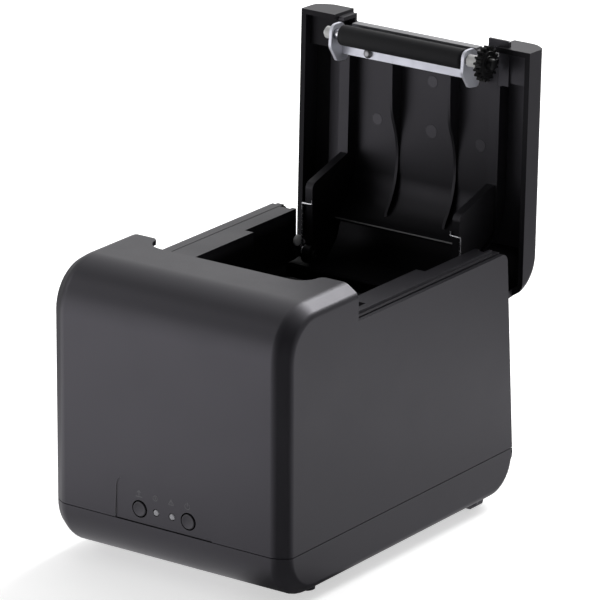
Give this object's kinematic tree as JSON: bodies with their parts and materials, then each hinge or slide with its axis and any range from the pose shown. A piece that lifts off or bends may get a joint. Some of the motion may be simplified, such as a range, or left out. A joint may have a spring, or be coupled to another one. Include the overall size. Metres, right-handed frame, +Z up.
{
  "type": "receipt printer",
  "caption": "Desktop thermal receipt printer with a clamshell lid standing open: platen on the lid, drop-in paper bin, print head, cutter, buttons and lamps on the front.",
  "frame": {"origin": "on the table plane under the middle of the bounding box of the printer with its lid open", "axes": "+Z up, +X to the right seen from the front, -Y towards the user (the front face with the buttons)"},
  "size_m": [0.145, 0.23, 0.2403],
  "materials": {
    "case": "dark grey satin, fine texture",
    "inner": "near black satin",
    "rubber": "dark grey ground rubber",
    "steel": "bright",
    "zinc": "zinc-plated sheet",
    "alu": "extruded, plain",
    "gear": "black moulded",
    "white": "light grey moulded",
    "board": "green solder mask",
    "lens": "unlit light grey lamp lens"
  },
  "bodies": {
    "base": {"upper_case": "case", "bottom_case": "case", "paper_bin": "inner", "mech_frame": "zinc", "head_rod": "steel", "head_spring_left": "steel", "head_spring_right": "steel", "feed_motor": "zinc", "latch_rod": "steel", "cutter_frame": "zinc", "cutter_motor": "zinc", "hinge_pin_left": "white", "hinge_pin_right": "white", "near_end_sensor": "inner", "main_board": "board", "front_board": "board", "head_cable": "white", "power_socket": "gear", "usb_socket": "steel", "network_socket": "steel", "drawer_socket": "gear", "power_lens": "lens", "error_lens": "lens", "foot_front_left": "rubber", "foot_front_right": "rubber", "foot_rear_left": "case", "foot_rear_right": "case", "case_screw_front_left": "steel", "case_screw_front_right": "steel", "case_screw_rear_left": "steel", "case_screw_rear_right": "steel"},
    "lid": {"lid_cover": "case", "lid_liner": "inner", "platen_bracket": "zinc", "bracket_screw": "steel", "fixed_knife": "steel", "platen_bush_left": "white", "platen_bush_right": "white", "lid_spring_left": "steel", "lid_spring_right": "steel"},
    "platen": {"platen_shaft": "steel", "platen_roller": "rubber", "platen_gear": "gear"},
    "feed_button": {"feed_button": "gear"},
    "power_button": {"power_button": "gear"},
    "head": {"heat_sink": "alu", "print_head": "white"},
    "knife": {"moving_knife": "steel"},
    "cutter_pinion": {"cutter_pinion": "gear"},
    "motor_pinion": {"motor_pinion": "steel"},
    "idler_gear": {"idler_gear": "gear"},
    "latch": {"platen_latch": "zinc"}
  },
  "joints": [
    {"name": "lid_hinge", "type": "hinge", "parent": "base", "child": "lid", "pos_m": [0, 0.07104, 0.115], "axis": [1, 0, 0], "range_deg": [0, 91.6], "stiffness_Nm_per_rad": 0.03, "springref_deg": -17.19},
    {"name": "platen_spin", "type": "hinge", "parent": "lid", "child": "platen", "pos_m": [0, 0.08729, 0.23099], "axis": [1, 0, 0], "continuous": true},
    {"name": "feed_button_press", "type": "slide", "parent": "base", "child": "feed_button", "axis": [0, 1, 0], "range_m": [0, 0.0012], "stiffness_N_per_m": 300, "springref_m": -0.0006},
    {"name": "power_button_press", "type": "slide", "parent": "base", "child": "power_button", "axis": [0, 1, 0], "range_m": [0, 0.0012], "stiffness_N_per_m": 300, "springref_m": -0.0006},
    {"name": "head_tilt", "type": "hinge", "parent": "base", "child": "head", "pos_m": [0, -0.05726, 0.1196], "axis": [1, 0, 0], "range_deg": [0, 2.5], "stiffness_Nm_per_rad": 3, "springref_deg": -2.86},
    {"name": "knife_slide", "type": "slide", "parent": "base", "child": "knife", "axis": [0, 1, 0], "range_m": [0, 0.008]},
    {"name": "cutter_pinion_spin", "type": "hinge", "parent": "base", "child": "cutter_pinion", "pos_m": [0, -0.07496, 0.1282], "axis": [1, 0, 0], "range_deg": [-92, 0]},
    {"name": "motor_spin", "type": "hinge", "parent": "base", "child": "motor_pinion", "pos_m": [0, -0.06306, 0.1019], "axis": [1, 0, 0], "continuous": true},
    {"name": "idler_spin", "type": "hinge", "parent": "base", "child": "idler_gear", "pos_m": [0, -0.05396, 0.1115], "axis": [1, 0, 0], "continuous": true},
    {"name": "latch_pivot", "type": "hinge", "parent": "base", "child": "latch", "pos_m": [0, -0.03976, 0.1114], "axis": [-1, 0, 0], "range_deg": [0, 10], "stiffness_Nm_per_rad": 0.5, "springref_deg": -8.59}
  ],
  "couplings": [
    {"joint": "cutter_pinion_spin", "follows": "knife_slide", "rad_per_m": -200},
    {"joint": "idler_spin", "follows": "motor_spin", "ratio": -0.625}
  ]
}
